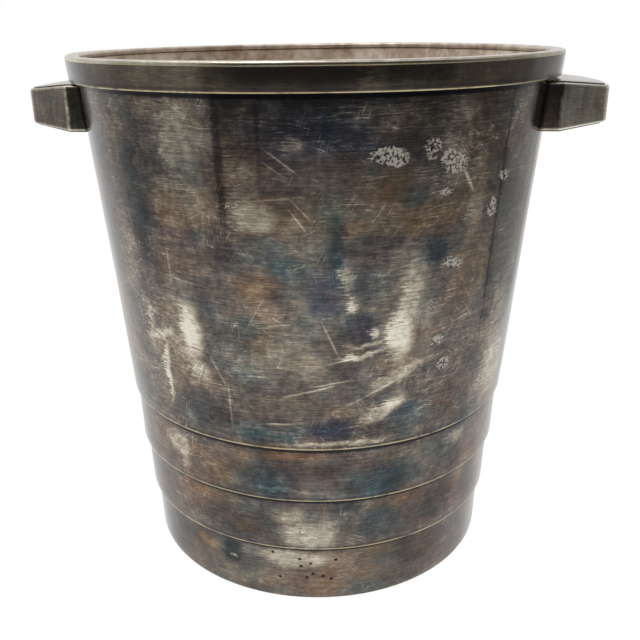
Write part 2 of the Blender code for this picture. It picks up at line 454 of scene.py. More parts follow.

# %% [markdown]
# ## The tarnish
#
# Plate tarnishes in films and clouds, is rubbed round and round when it is polished, and wears
# bright on what a cloth or a hand meets most. The finish is worked out as one number, the wear,
# from 0 for black tarnish to 1 for bare bright metal. Clouds, mottling, brushed lines, scratches
# and rubs add to it or take from it, and a colour ramp turns it into the metal's
# colour. Blue and brown films then tint it.
#
# Rubs, films and other marks are placed on the sheet as if it was unrolled: degrees round
# from the front, and height in millimetres. Some of the wall's marks are painted reflections,
# and the wear number also carries painted highlights and painted shade at the lips, under
# the edges and on the handles.

# %% Write the tarnish
SHEET_RADIUS = 88.0  # millimetres, at which the wall is unrolled
WEAR_STOPS = [
    (0.00, (0.020, 0.019, 0.022)),
    (0.22, (0.060, 0.053, 0.052)),
    (0.42, (0.135, 0.118, 0.105)),
    (0.60, (0.258, 0.223, 0.180)),
    (0.80, (0.480, 0.428, 0.342)),
    (1.00, (0.770, 0.725, 0.620)),
]
BLUE_FILM = (0.60, 0.98, 1.18, 1.0)
NAVY_FILM = (0.66, 0.82, 1.28, 1.0)
BROWN_FILM = (1.22, 0.98, 0.74, 1.0)
BRASS = (0.50, 0.43, 0.25, 1.0)
OLIVE = (1.0, 1.0, 0.91, 1.0)
PURPLE_FILM = (1.06, 0.94, 0.92, 1.0)
CRUST = (0.03, 0.03, 0.035, 1.0)
CRUST_SPECK = (0.58, 0.53, 0.45, 1.0)
DARK_STAIN = (0.42, 0.29, 0.20, 1.0)
PALE_STAIN = (0.92, 0.82, 0.70, 1.0)
FADE = 1.25  # a rub fades out this far from its middle, in half-sizes


def sheet_mark(turn, height, half_width, half_height, amount, lean=0.0):
    """One mark, a rub, a film or a painted reflection: where it is, its half-sizes in millimetres, how
    strong, and its lean.
    """
    centre = (math.radians(turn) * SHEET_RADIUS, height, 0.0)
    return centre, (half_width * FADE, half_height * FADE, 1.0), amount, math.radians(lean)


def rubbed(recipe, sheet, sheet_marks):
    """The sum of a list of marks, each fading from its middle to past its edge."""
    total = None
    for centre, size, amount, lean in sheet_marks:
        inputs = {"Vector": sheet, "Location": centre, "Rotation": (0.0, 0.0, lean), "Scale": size}
        local = recipe.add("ShaderNodeMapping", {"vector_type": "TEXTURE"}, inputs)
        near_middle = recipe.add("ShaderNodeTexGradient", {"gradient_type": "SPHERICAL"},
                                 {"Vector": local}, 1)
        inputs = {"Value": near_middle, "From Max": 0.64, "To Max": amount}
        mark = recipe.add("ShaderNodeMapRange", {"interpolation_type": "SMOOTHSTEP"}, inputs)
        total = mark if total is None else total + mark
    return total


# lean in degrees, length and width in millimetres, and which cluster it keeps to
SCRATCHES = [(8.0, 17.0, 0.50, 0), (-16.0, 14.0, 0.50, 1), (34.0, 8.0, 0.42, 2),
             (-38.0, 7.0, 0.40, 0), (63.0, 9.0, 0.45, 1), (84.0, 12.0, 0.50, 2), (1.0, 9.0, 0.40, 2)]


class Sheet:
    """The fields that every tarnished piece shares: its place, unrolled place, clouds and lines."""

    def __init__(self, material):
        material.use_nodes = True
        self.recipe = recipe = Recipe(material.node_tree)
        self.place = recipe.add("ShaderNodeTexCoord", output=3)
        self.x = recipe.add("ShaderNodeSeparateXYZ", None, {0: self.place}, 0)
        self.y = recipe.add("ShaderNodeSeparateXYZ", None, {0: self.place}, 1)
        self.height = recipe.add("ShaderNodeSeparateXYZ", None, {0: self.place}, 2) * 1000.0
        self.radius = (self.x * self.x + self.y * self.y).math("SQRT") * 1000.0
        self.around = self.x.math("ARCTAN2", self.y * -1.0) * SHEET_RADIUS
        self.unrolled = recipe.add("ShaderNodeCombineXYZ", None, {0: self.around, 1: self.height})
        self.cloud = recipe.noise(self.place, 24.0, 5.0, 0.6)
        self.mottle = recipe.noise(self.place, 115.0, 7.0, 0.68)
        long_lines = recipe.stretch(self.place, (70.0, 70.0, 2300.0))
        short_lines = recipe.stretch(self.place, (260.0, 260.0, 1900.0))
        self.long_lines = recipe.noise(long_lines, 1.0, 2.0, 0.6)
        self.short_lines = recipe.noise(short_lines, 1.0, 3.0, 0.7)
        self.warped = self.warp()

    def warp(self):
        """The unrolled place, pushed about so that the marks have ragged, brushed edges."""
        recipe = self.recipe
        push = recipe.noise(self.place, 75.0, 6.0, 0.7, output=1)
        push = recipe.add("ShaderNodeVectorMath", {"operation": "MULTIPLY_ADD"},
                          {0: push, 1: (11.0, 9.0, 0.0), 2: (-5.5, -4.5, 0.0)})
        moved = recipe.add("ShaderNodeVectorMath", {"operation": "ADD"}, {0: self.unrolled, 1: push})
        sideways = recipe.add("ShaderNodeCombineXYZ", None, {0: (self.short_lines - 0.5) * 9.0})
        return recipe.add("ShaderNodeVectorMath", {"operation": "ADD"}, {0: moved, 1: sideways})

    def scratches(self):
        """Fine scratches in several directions, each in its own clusters, kept off the join at the back."""
        recipe = self.recipe
        clusters = recipe.noise(self.place, 38.0, 4.0, 0.65, output=1)
        clusters = [recipe.add("ShaderNodeSeparateColor", None, {0: clusters}, k) for k in range(3)]
        bend = recipe.noise(self.place, 28.0, 2.0, 0.5, output=1)
        bent = recipe.add("ShaderNodeVectorMath", {"operation": "MULTIPLY_ADD"},
                          {0: bend, 1: (15.0, 15.0, 0.0), 2: self.unrolled})
        total = None
        for lean, length, width, cluster in SCRATCHES:
            lines = recipe.stretch(bent, (1.0, 1.0, 1.0), -lean)
            lines = recipe.stretch(lines, (1.0 / length, 1.0 / width, 1.0))
            field = recipe.noise(lines, 1.0, 1.5, 0.5)
            mark = recipe.step(field, 0.62, 0.71) * recipe.step(clusters[cluster], 0.50, 0.64)
            total = mark if total is None else total + mark
        back = recipe.step(self.around.math("ABSOLUTE"), math.radians(178.0) * SHEET_RADIUS,
                           math.radians(165.0) * SHEET_RADIUS)
        return total * back


def tarnished(name, sheet_marks, blues, navies, browns, crusts=(), lines=(), level=0.40, extra=None, inside=None,
              brushed=1.0, films=1.0, tint=None):
    """The finish of one piece of plate; extra adds the wear, grime and painted light and shade of its own
    edges.
    """
    material = bpy.data.materials.new(name)
    sheet = Sheet(material)
    recipe = sheet.recipe
    scratches = sheet.scratches()
    fine = recipe.noise(sheet.place, 480.0, 3.0, 0.6)
    grain = (sheet.long_lines - 0.5) * 0.40 + (sheet.short_lines - 0.5) * 0.48 + (sheet.mottle - 0.5) * 0.75
    grain = (grain + (fine - 0.5) * 0.38) * brushed
    dashes = recipe.step(sheet.short_lines, 0.56, 0.74) * recipe.step(sheet.mottle, 0.44, 0.62)
    wear = (sheet.cloud - 0.5) * 0.40 + grain + level + (scratches * 0.30 + dashes * 0.16) * brushed
    if sheet_marks:
        wear = wear + rubbed(recipe, sheet.warped, sheet_marks) * (sheet.short_lines * 0.9 + 0.55)
    # The wall's lines include painted reflections.
    if lines:
        wear = wear + rubbed(recipe, sheet.unrolled, lines)
    brass = None
    if extra:
        wear, brass = extra(sheet, wear)
    wear = wear.math("MAXIMUM", 0.0)
    colour = recipe.add("ShaderNodeValToRGB", {"stops": WEAR_STOPS}, {"Fac": wear})
    hue = recipe.noise(sheet.place, 52.0, 6.0, 0.68)
    films = recipe.step(wear, 0.80, 0.42) * films
    brown = recipe.step(hue, 0.50, 0.64) * 0.50
    blue = recipe.step(hue, 0.49, 0.38) * 0.38
    ragged = sheet.mottle * 1.4 + 0.25
    if browns:
        brown = brown + rubbed(recipe, sheet.warped, browns) * ragged
    if blues:
        blue = blue + rubbed(recipe, sheet.warped, blues) * ragged
    colour = recipe.mix(recipe.step(sheet.cloud, 0.46, 0.60) * films, colour, PURPLE_FILM, "MULTIPLY")
    colour = recipe.mix(brown * films, colour, BROWN_FILM, "MULTIPLY")
    colour = recipe.mix(blue * films, colour, BLUE_FILM, "MULTIPLY")
    if navies:
        navy = rubbed(recipe, sheet.warped, navies) * ragged
        colour = recipe.mix(navy * films, colour, NAVY_FILM, "MULTIPLY")
    if tint:
        colour = recipe.mix(1.0, colour, tint, "MULTIPLY")
    if brass:
        colour = recipe.mix(brass, colour, BRASS)
    metallic = recipe.step(wear, 0.05, 0.5) * 0.22 + 0.76
    roughness = recipe.step(wear, 0.2, 0.8) * 0.08 + (sheet.mottle - 0.5) * 0.12 + 0.17
    if crusts:
        area = recipe.step(rubbed(recipe, sheet.warped, crusts) * sheet.mottle, 0.22, 0.36)
        speck = area * recipe.step(recipe.noise(sheet.place, 1000.0, 3.0, 0.65), 0.44, 0.52)
        colour = recipe.mix(area * 0.75, colour, CRUST)
        colour = recipe.mix(speck, colour, CRUST_SPECK)
        metallic = metallic * (1 - speck * 0.85)
        roughness = roughness + area * 0.25
    if inside:
        within = inside(sheet)
        stain = recipe.mix(recipe.step(sheet.mottle, 0.3, 0.7), DARK_STAIN, PALE_STAIN)
        colour = recipe.mix(within, colour, stain)
        roughness = roughness + within * 0.15
        metallic = metallic * (1 - within * 0.7)
    relief = sheet.long_lines * 0.5 + sheet.short_lines * 0.35 + scratches * 0.3 + sheet.mottle * 0.3
    bump = recipe.add("ShaderNodeBump", None, {"Strength": 0.18, "Distance": 0.12 * MM, "Height": relief})
    shader = recipe.add("ShaderNodeBsdfPrincipled", None, {
        "Base Color": colour, "Metallic": metallic, "Roughness": roughness, "Normal": bump})
    recipe.output(shader)
    return material


print("Tarnish:", len(WEAR_STOPS), "shades from black to bright,", len(SCRATCHES), "kinds of scratch")

# %% [markdown]
# ## The wall
#
# The main wall is one tapering sheet. Its lower edge overlaps the tier below it and is rounded,
# so that the lip catches the light. The rubs below are mostly the polish marks that
# a hand leaves: two tall bright streaks, small bright scuffs between them, and films of blue
# and brown where the cloth didn't reach. A light column at 35 degrees is a painted reflection
# of a board. The lines are sharper. Most are scratches, and the tall narrow dark ones, with a
# short dark curve at 62 degrees, are painted reflections of narrow things in the room.

# %% Turn the wall
def edge_wear_and_painted_light(lip=None, shade=None):
    """Bright wear and brass on the lip at one height, partly a painted highlight, and grime with painted
    shade under the edge at another, in metres.
    """
    def extra(sheet, wear):
        recipe = sheet.recipe
        patchy = recipe.noise(sheet.place, 110.0, 5.0, 0.7)
        brass = None
        if lip is not None:
            above = sheet.height - lip / MM
            edge = recipe.step(above, 0.85, 0.45)
            # Worn brass on the lip, weighted to the front: partly a painted highlight.
            sides = recipe.step(sheet.around.math("ABSOLUTE"), 110.0, 55.0) * 0.6 + 0.4
            brass_and_highlight = edge * recipe.step(patchy, 0.30, 0.56) * sides
            brass = brass_and_highlight * 0.85
            # A thin line 1.35 mm above the lip is darkened a little.
            wear = wear + brass_and_highlight * 0.25 - recipe.step((above - 1.35).math("ABSOLUTE"), 0.7, 0.2) * 0.10
        if shade is not None:
            # Painted shade with some grime: darker just under the edge above, as in the shadow of its
            # overhang.
            below = shade / MM - sheet.height
            wear = wear - recipe.step(below, 2.1, 1.1) * 0.55
            wear = wear - recipe.step(below, 4.5, 1.5) * (patchy - 0.3) * 0.3
        return wear, brass
    return extra


def sheet_inside(profile):
    """Mask of a ring's inner face, split from its outer one at the middle of its sheet."""
    (top_radius, top), (low_radius, low), (inner_radius, _), _ = profile
    slope = (top_radius - low_radius) / (top - low)
    middle = (low_radius + inner_radius) / 2
    def mask(sheet):
        line = sheet.height * slope + (middle - low * slope) / MM
        return sheet.recipe.step(sheet.radius - line, 0.1, -0.1)
    return mask


# a tier's lower corners, outer and inner: corner number, size and segments of its rounding
LIP_ROUNDS = [(1, 0.35 * MM, 4), (2, 0.2 * MM, 2)]
WALL_RUBS_AND_REFLECTION = [
    # Bright streaks and scuffs
    sheet_mark(-27, 117, 6, 13, 0.38), sheet_mark(-30, 119, 10, 20, 0.16), sheet_mark(-26, 100, 6, 6, 0.24),
    sheet_mark(24, 118, 5.5, 12, 0.40), sheet_mark(27, 135, 6.5, 15, 0.26), sheet_mark(25, 126, 13, 24, 0.08),
    sheet_mark(-8, 162, 8, 6, 0.30), sheet_mark(-10, 172, 6, 9, 0.16), sheet_mark(-48, 140, 8, 20, 0.10),
    sheet_mark(-39, 112, 10, 2.5, 0.30, 12), sheet_mark(-37, 97, 1.8, 15, 0.42, -3), sheet_mark(-42, 118, 1.6, 6, 0.34, -14),
    sheet_mark(11, 142, 2.2, 9, 0.30, 8), sheet_mark(13, 131, 2.6, 3.5, 0.50), sheet_mark(15, 112, 9, 1.6, 0.42, 8),
    sheet_mark(16, 116, 8, 1.0, 0.34, 4), sheet_mark(18, 120, 2, 2.5, 0.45), sheet_mark(25, 102, 15, 3.0, 0.26, 22),
    sheet_mark(21, 88, 11, 2.6, 0.34, 28), sheet_mark(24, 92, 4.5, 5, 0.22), sheet_mark(42, 168, 4, 18, 0.18),
    sheet_mark(10, 75.6, 22, 1.4, 0.30), sheet_mark(-1, 157, 12, 8, 0.10), sheet_mark(-25, 165, 13, 12, 0.14),
    sheet_mark(-6, 108, 24, 8, 0.12), sheet_mark(0, 185, 3, 4, 0.20), sheet_mark(-25, 188, 15, 12, 0.10),
    # Broad lighter and darker regions; the light column at 35 degrees and 186 mm is a painted reflection of
    # a board
    sheet_mark(-24, 187, 9, 15, 0.20), sheet_mark(-58, 165, 14, 34, -0.14), sheet_mark(24, 194, 28, 6, 0.12),
    sheet_mark(62, 126, 12, 12, 0.14), sheet_mark(58, 112, 9, 16, 0.10), sheet_mark(-36, 151, 9, 14, -0.13),
    sheet_mark(-16, 152, 6, 9, -0.12), sheet_mark(12, 81, 14, 6, -0.12), sheet_mark(-5, 83, 8, 5, -0.10),
    sheet_mark(-5, 195, 9, 5, 0.08), sheet_mark(60, 92, 14, 17, 0.12), sheet_mark(35, 186, 7, 16, 0.20),
    sheet_mark(45, 103, 8, 10, -0.10), sheet_mark(-42, 95, 12, 18, 0.06), sheet_mark(-40, 176, 5, 12, -0.06),
    sheet_mark(-2, 120, 20, 16, 0.08), sheet_mark(-12, 92, 22, 8, 0.05),
    # Dark films
    sheet_mark(-39, 160, 5, 27, -0.12), sheet_mark(6, 134, 7, 10, -0.08), sheet_mark(9, 150, 3.4, 13, -0.14),
    sheet_mark(-12, 122, 8, 6, -0.08), sheet_mark(-25, 86, 13, 8, -0.12), sheet_mark(9, 82, 9, 5, -0.12),
    sheet_mark(-8, 77.5, 13, 2.6, -0.14), sheet_mark(40, 86, 9, 8, -0.14), sheet_mark(15, 122, 7, 6, -0.10),
    sheet_mark(17, 152, 12, 4, -0.12), sheet_mark(33, 147, 5, 7, -0.16), sheet_mark(10, 186, 26, 7, -0.04),
]
WALL_LINES = [
    # The tall narrow dark lines here, and the short dark curve at 62 degrees and 111 mm, are painted
    # reflections of narrow things in the room.
    sheet_mark(-42, 158, 0.5, 20, -0.08), sheet_mark(-6.4, 188, 0.9, 13, -0.12), sheet_mark(-14.8, 177, 1.7, 26, -0.20),
    sheet_mark(68.5, 158, 1.4, 48, -0.24), sheet_mark(62, 111, 10, 1.3, -0.20, 8), sheet_mark(50.3, 154, 0.9, 50, -0.18),
    sheet_mark(-57, 147, 1.2, 22, -0.16), sheet_mark(62, 91, 11, 16, 0.16), sheet_mark(3, 98, 11, 0.5, 0.34, 14),
    sheet_mark(8, 101, 9, 0.4, 0.26, 9), sheet_mark(-5, 84, 7, 0.5, 0.36, 4), sheet_mark(-2, 180, 7, 0.45, 0.30, -38),
    sheet_mark(-4, 178, 6, 0.35, 0.22, -36), sheet_mark(2, 164, 5, 0.4, 0.26, -48), sheet_mark(1, 161, 6, 0.35, 0.24, -55),
    sheet_mark(-25, 110, 6, 0.5, -0.16, -12), sheet_mark(-20, 103, 8, 0.45, 0.20, -62), sheet_mark(-17.5, 90, 0.5, 11, 0.22),
    sheet_mark(-10, 103, 5, 0.4, 0.22, 2), sheet_mark(8, 118, 0.5, 8, 0.26, 24), sheet_mark(11, 110, 7, 0.45, 0.30, 12),
    sheet_mark(-31, 143, 0.45, 8, 0.16), sheet_mark(18, 96, 14, 0.5, 0.22, 24), sheet_mark(-3, 168, 8, 0.35, 0.2, 6),
    sheet_mark(39, 171, 0.8, 5, 0.40, 34), sheet_mark(-9, 128, 0.4, 9, 0.14, -30), sheet_mark(-30, 137, 12, 0.4, 0.16, -6),
]
WALL_BLUES = [
    sheet_mark(-6, 150, 10, 6, 0.6), sheet_mark(-12, 122, 8, 6, 0.6), sheet_mark(9, 150, 3.4, 13, 0.7),
    sheet_mark(-8, 77.5, 14, 3, 0.9), sheet_mark(33, 147, 5, 7, 0.7), sheet_mark(22, 178, 10, 8, 0.5),
    sheet_mark(-39, 160, 5, 25, 0.4), sheet_mark(-22, 182, 10, 10, 0.4), sheet_mark(-12, 104, 9, 4, 0.4), sheet_mark(27, 84, 9, 7, 0.4),
    sheet_mark(25, 168, 8, 4, 0.8), sheet_mark(7, 166, 8, 9, 0.6), sheet_mark(10, 125, 5, 8, 0.5), sheet_mark(0, 144, 8, 5, 0.6),
    sheet_mark(-30, 84, 12, 8, 0.5), sheet_mark(-2, 81, 22, 3, 0.6),
]
WALL_NAVIES = [
    sheet_mark(6, 134, 7, 10, 0.6), sheet_mark(9, 82, 9, 5, 0.9), sheet_mark(4, 188, 26, 10, 0.7), sheet_mark(15, 122, 7, 6, 0.5),
]
WALL_BROWNS = [
    sheet_mark(-25, 163, 14, 9, 0.6), sheet_mark(-8, 118, 10, 13, 0.45), sheet_mark(19, 171, 9, 7, 0.7),
    sheet_mark(13, 158, 11, 3, 0.7), sheet_mark(-2, 162, 14, 10, 0.45), sheet_mark(44, 145, 10, 22, 0.5),
    sheet_mark(-9, 138, 9, 6, 0.6), sheet_mark(30, 160, 14, 8, 0.4), sheet_mark(-5, 90, 22, 9, 0.3),
    sheet_mark(8, 166, 8, 9, 0.6), sheet_mark(25, 163, 14, 9, 0.4),
]
WALL_CRUSTS = [
    sheet_mark(20, 181, 7, 4, 1.1), sheet_mark(29, 182, 4, 5, 0.8), sheet_mark(34.5, 178, 5.5, 4.5, 1.1),
    sheet_mark(33, 168, 4, 2, 0.7), sheet_mark(51, 170, 3.5, 2.5, 1.0), sheet_mark(48, 160, 3.5, 3, 1.0),
    sheet_mark(37, 142, 5, 3, 0.8), sheet_mark(35, 114, 3.5, 2.5, 1.0), sheet_mark(37, 103, 4, 3, 0.9),
]

# The wall's lip gets worn brass with a painted highlight, and painted shade with grime under the rim band.
wall_finish = tarnished("wall_silver", WALL_RUBS_AND_REFLECTION, WALL_BLUES, WALL_NAVIES, WALL_BROWNS, WALL_CRUSTS,
                        WALL_LINES, extra=edge_wear_and_painted_light(wall_profile[1][1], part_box("rim_band")[0].z),
                        inside=sheet_inside(wall_profile))
finish_piece("wall", turned(wall_profile, LIP_ROUNDS), "body_wall", wall_finish)

# %% [markdown]
# ## The two step rings and the base
#
# Each lower tier is a ring tucked up inside the one above. They share the wall's outline and
# finish, with their own rubs. The base's sheet turns in flat under the bucket to rest on.

# %% Turn the lower tiers
UPPER_RUBS = [
    sheet_mark(-38, 64, 8, 6, 0.26), sheet_mark(-36, 58, 3, 4, 0.2), sheet_mark(47, 67, 7, 3.5, 0.22), sheet_mark(5, 68, 8, 3, 0.16),
    sheet_mark(-8, 58, 14, 8, -0.12), sheet_mark(22, 57, 18, 8, -0.12), sheet_mark(-3, 54, 18, 1.0, 0.16),
    sheet_mark(5, 66, 24, 7, -0.16), sheet_mark(35, 66, 8, 8, 0.14), sheet_mark(46, 56, 9, 6, -0.14),
]
UPPER_BLUES = [sheet_mark(-9, 58, 14, 8, 0.7), sheet_mark(22, 57, 20, 8, 0.75)]
UPPER_BROWNS = [sheet_mark(-52, 65, 16, 8, 0.7), sheet_mark(-1, 70, 18, 2, 0.7), sheet_mark(-25, 60, 12, 8, 0.4)]
LOWER_RUBS = [
    sheet_mark(2, 33, 15, 9, 0.30), sheet_mark(-4, 42, 8, 4, 0.18), sheet_mark(-22, 35, 18, 8, -0.12),
    sheet_mark(23, 35, 11, 9, -0.12), sheet_mark(12, 46, 10, 3, -0.14), sheet_mark(40, 38, 20, 11, -0.17),
    sheet_mark(5, 33, 8, 8, 0.04), sheet_mark(60, 34, 14, 16, -0.14), sheet_mark(-54, 36, 16, 14, -0.13),
]
LOWER_BLUES = [sheet_mark(24, 35, 12, 8, 0.75), sheet_mark(-34, 32, 8, 5, 0.3)]
LOWER_BROWNS = [sheet_mark(-28, 44, 18, 4, 0.8), sheet_mark(28, 45, 12, 3, 0.8), sheet_mark(-20, 34, 12, 4, 0.5)]
BASE_RUBS = [
    sheet_mark(-3, 20, 17, 5, 0.30), sheet_mark(-23, 17, 5, 6, -0.22), sheet_mark(-22.5, 15, 1.6, 0.9, 0.7),
    sheet_mark(-33, 18, 8, 3, 0.12), sheet_mark(10, 9, 40, 5, 0.02), sheet_mark(38, 18, 20, 9, -0.19),
    sheet_mark(-50, 14, 22, 14, -0.17), sheet_mark(-35, 19, 7, 6, -0.14), sheet_mark(58, 12, 16, 14, -0.12),
    sheet_mark(8, 20, 8, 5, 0.10), sheet_mark(38, 8, 20, 6, -0.10), sheet_mark(-20, 7, 14, 5, 0.10),
    sheet_mark(-15, 21, 8, 4, 0.12),
]
BASE_BLUES = [sheet_mark(-23, 17, 6, 7, 0.4)]
BASE_BROWNS = [sheet_mark(-33, 18, 9, 4, 0.8), sheet_mark(28, 22, 16, 3, 0.6), sheet_mark(0, 9, 60, 6, 0.3)]
PITS = [(-1, 19.6), (2.4, 17.6), (10, 19.4), (-0.6, 16.2), (3, 12.6), (-7, 10.2), (6, 11.4), (8.6, 10.0),
        (-9, 22.0), (1.2, 10.8)]


def with_pits(edge):
    """Adds the base's few dark corrosion pits to its edge grime and painted shade."""
    def extra(sheet, wear):
        pits = [sheet_mark(turn, height, 0.9, 0.7, 0.6) for turn, height in PITS]
        sideways = sheet.recipe.add("ShaderNodeCombineXYZ", None, {0: sheet.mottle - 0.5})
        pushed = sheet.recipe.add("ShaderNodeVectorMath", {"operation": "ADD"},
                                  {0: sheet.unrolled, 1: sideways})
        wear, brass = edge(sheet, wear)
        return wear - rubbed(sheet.recipe, pushed, pits), brass
    return extra


def make_tier(name, node, above, sheet_marks, blues, browns):
    """One lower tier; above is the height of the lip that it is tucked under."""
    profile = sheet_profile(node)
    # Painted highlight and brass on this tier's lip, and painted shade with grime under the lip above.
    edge = edge_wear_and_painted_light(profile[1][1], above)
    finish = tarnished(name + "_silver", sheet_marks, blues, [], browns, extra=edge,
                       inside=sheet_inside(profile), brushed=0.8)
    finish_piece(name, turned(profile, LIP_ROUNDS), node, finish)


make_tier("upper_step", "step_ring_upper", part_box("body_wall")[0].z, UPPER_RUBS, UPPER_BLUES, UPPER_BROWNS)
make_tier("lower_step", "step_ring_lower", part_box("step_ring_upper")[0].z, LOWER_RUBS, LOWER_BLUES,
          LOWER_BROWNS)


def make_base():
    top_outer = corner("base_ring", True, True)
    top_inner = corner("base_ring", True, False)
    low_inner = corner("base_ring", False, False)
    sheet = top_outer[0] - top_inner[0]
    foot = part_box("base_ring")[0].z
    foot_radius = max(v.co.xy.length for v in nodes["base_ring"].data.vertices
                      if v.co.z < foot + 1.2 * MM)
    profile = [top_outer, (foot_radius, foot), (low_inner[0], foot),
               (low_inner[0], foot + sheet), (foot_radius - sheet, foot + sheet), top_inner]
    # Painted shade with grime under the lower step's lip.
    edge = edge_wear_and_painted_light(shade=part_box("step_ring_lower")[0].z)
    ring = [top_outer, (foot_radius, foot), (foot_radius - sheet, foot), top_inner]
    finish = tarnished("base_silver_finish", BASE_RUBS, BASE_BLUES, [], BASE_BROWNS, level=0.42,
                       extra=with_pits(edge), inside=sheet_inside(ring), brushed=0.65)
    shape = turned(profile, [(1, 1.0 * MM, 5), (2, 0.3 * MM, 2)])
    finish_piece("base", shape, "base_ring", finish)


make_base()

# %% [markdown]
# ## The floor of the bucket
#
# The floor is a flat disc held inside the base tier, with the same worn plate as the rest.

# %% Make the floor disc
def make_floor_disc():
    low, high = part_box("floor_disc")
    radius = high.x
    shape = bmesh.new()
    bmesh.ops.create_cone(shape, cap_ends=True, segments=180, radius1=radius, radius2=radius,
                          depth=high.z - low.z)
    bmesh.ops.translate(shape, verts=shape.verts, vec=(0, 0, (high.z + low.z) / 2))
    finish = tarnished("floor_silver_finish", [], [], [], [], level=0.42)
    finish_piece("floor_plate", shape, "floor_disc", finish)


make_floor_disc()

# %% [markdown]
# ## The rim
#
# A flat band stands out from the top of the wall, and a rounded wire closes both. Hands,
# cloths and bottles meet them most, so the wire is worn to bare metal, and the band's lower
# edge shows the yellow of the brass under the silver, with a painted highlight along it.

# %% Make the band and the wire
def make_band():
    top_outer = corner("rim_band", True, True)
    top_inner = corner("rim_band", True, False)
    low_inner = corner("rim_band", False, False)
    low_outer = corner("rim_band", False, True)
    profile = [top_outer, low_outer, low_inner, top_inner]
    sheet_marks = [sheet_mark(-20, 204, 24, 8, 0.10), sheet_mark(15, 204, 5, 8, 0.20), sheet_mark(28, 204, 20, 8, 0.10),
            sheet_mark(-58, 204, 26, 8, -0.20), sheet_mark(60, 204, 16, 8, -0.12)]
    # The band's lower edge gets brass with a painted highlight.
    finish = tarnished("band_silver_finish", sheet_marks, [], [], [sheet_mark(0, 204, 260, 8, 0.3)], level=0.37,
                       extra=edge_wear_and_painted_light(low_outer[1]), brushed=0.45, films=0.3, tint=OLIVE)
    shape = turned(profile, [(0, 0.25 * MM, 3), (1, 0.55 * MM, 5), (2, 0.2 * MM, 2)])
    finish_piece("band", shape, "rim_band", finish)


def make_wire():
    low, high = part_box("rim_wire")
    cad = [(v.co.xy.length, v.co.z) for v in nodes["rim_wire"].data.vertices]
    outer = max(radius for radius, _ in cad)
    inner = min(radius for radius, _ in cad)
    seam = min(height for radius, height in cad if radius > outer - 0.1 * MM)
    rebate = min(radius for radius, height in cad
                 if abs(height - seam) < 0.05 * MM and radius > inner + 0.3 * MM)
    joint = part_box("rim_band")[1].z
    profile = [(outer, high.z), (outer, joint), (rebate, joint),
               (rebate, low.z), (inner, low.z), (inner, high.z)]

    def worn_outside(sheet, wear):
        """The wire is rubbed to brass and bright metal round its outer edge only."""
        recipe = sheet.recipe
        patchy = recipe.noise(sheet.place, 90.0, 4.0, 0.65)
        edge = recipe.step(sheet.radius, outer / MM - 1.3, outer / MM - 0.5)
        low_edge = recipe.step(sheet.height, joint / MM + 0.7, joint / MM + 0.2)
        return wear + edge * 0.30, edge * low_edge * recipe.step(patchy, 0.3, 0.55) * 0.8

    def within(sheet):
        return sheet.recipe.step(sheet.radius, inner / MM + 1.6, inner / MM + 0.5) * 0.7

    finish = tarnished("wire_silver_finish", [], [], [], [], level=0.52, extra=worn_outside, inside=within,
                       brushed=0.4, films=0.0)
    shape = turned(profile, [(0, 0.9 * MM, 6), (5, 1.1 * MM, 6), (1, 0.12 * MM, 2), (4, 0.3 * MM, 3)])
    finish_piece("wire", shape, "rim_wire", finish)


make_band()
make_wire()

# %% [markdown]
# ## The handles
#
# Each handle is a strip of sheet folded round both sides and a bowed end, closed above and
# below by a thin cover plate. The folds are soft, the covers stand in a little from the strip,
# and the whole block tapers towards its end. The strip starts as a wire outline that is
# extruded up and thickened, with its folds bevelled, and a cover as one face on the same
# outline, creased where the taper starts.

# %% Fold the handles
BOW_STEPS = 16
ROOT_STEPS = 16
STRIP = 1.8 * MM  # the strip's thickness
COVER = 0.45 * MM  # the covers' thickness
COVER_INSET = 1.0 * MM
SINK = 0.4 * MM  # how far the handle's root runs into the wall's sheet


class HandleSizes:
    """A handle's sizes, read from its packed wall."""

    def __init__(self, side):
        self.sign = 1.0 if side == "right" else -1.0
        low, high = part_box(f"handle_{side}_wall")
        points = [v.co for v in nodes[f"handle_{side}_wall"].data.vertices]
        self.level = (low.z + high.z) / 2
        self.root_half_width = high.y
        self.root_half_height = (high.z - low.z) / 2
        self.end_x = max(abs(low.x), abs(high.x))
        on_side = [abs(p.x) for p in points if abs(p.y) > self.root_half_width - 0.05 * MM]
        self.crease_x = max(on_side)
        beyond = [p for p in points if abs(p.x) > self.crease_x + MM]
        corner_point = max(beyond, key=lambda p: abs(p.y))
        self.tip_x = abs(corner_point.x)
        self.tip_half_width = abs(corner_point.y)
        self.tip_half_height = abs(corner_point.z - self.level)

    def half_height(self, x):
        taper = (self.root_half_height - self.tip_half_height) / (self.tip_x - self.crease_x)
        return self.root_half_height - taper * max(0.0, x - self.crease_x)

    def outline(self, inset):
        """Half of the plan, from the root along the side and round the bow, then the other half."""
        root_y = self.root_half_width - inset
        tip_y = self.tip_half_width - inset
        start_x = math.sqrt(radius_on(wall_profile, self.level) ** 2 - root_y ** 2) - 2 * MM
        side = [(start_x, -root_y), (self.crease_x, -root_y)]
        bow = []
        for step in range(BOW_STEPS + 1):
            share = 2.0 * step / BOW_STEPS - 1.0
            bow.append((self.end_x - 1.6 * inset - (self.end_x - self.tip_x) * share * share, tip_y * share))
        return side + bow + [(x, -y) for x, y in reversed(side)]


def seat_on_wall(verts):
    """Slides the root's points along X until they are just inside the wall's face."""
    for vert in verts:
        radius = radius_on(wall_profile, vert.co.z) - SINK
        vert.co.x = math.sqrt(max(radius ** 2 - vert.co.y ** 2, 0.0))


def handle_finish(name, shade, light):
    """Dark, greasy tarnish, worn light on the folds and along the edges, partly as a painted highlight."""
    return tarnished(name, [], [], [], [], level=shade, extra=light, brushed=0.5, films=0.8)


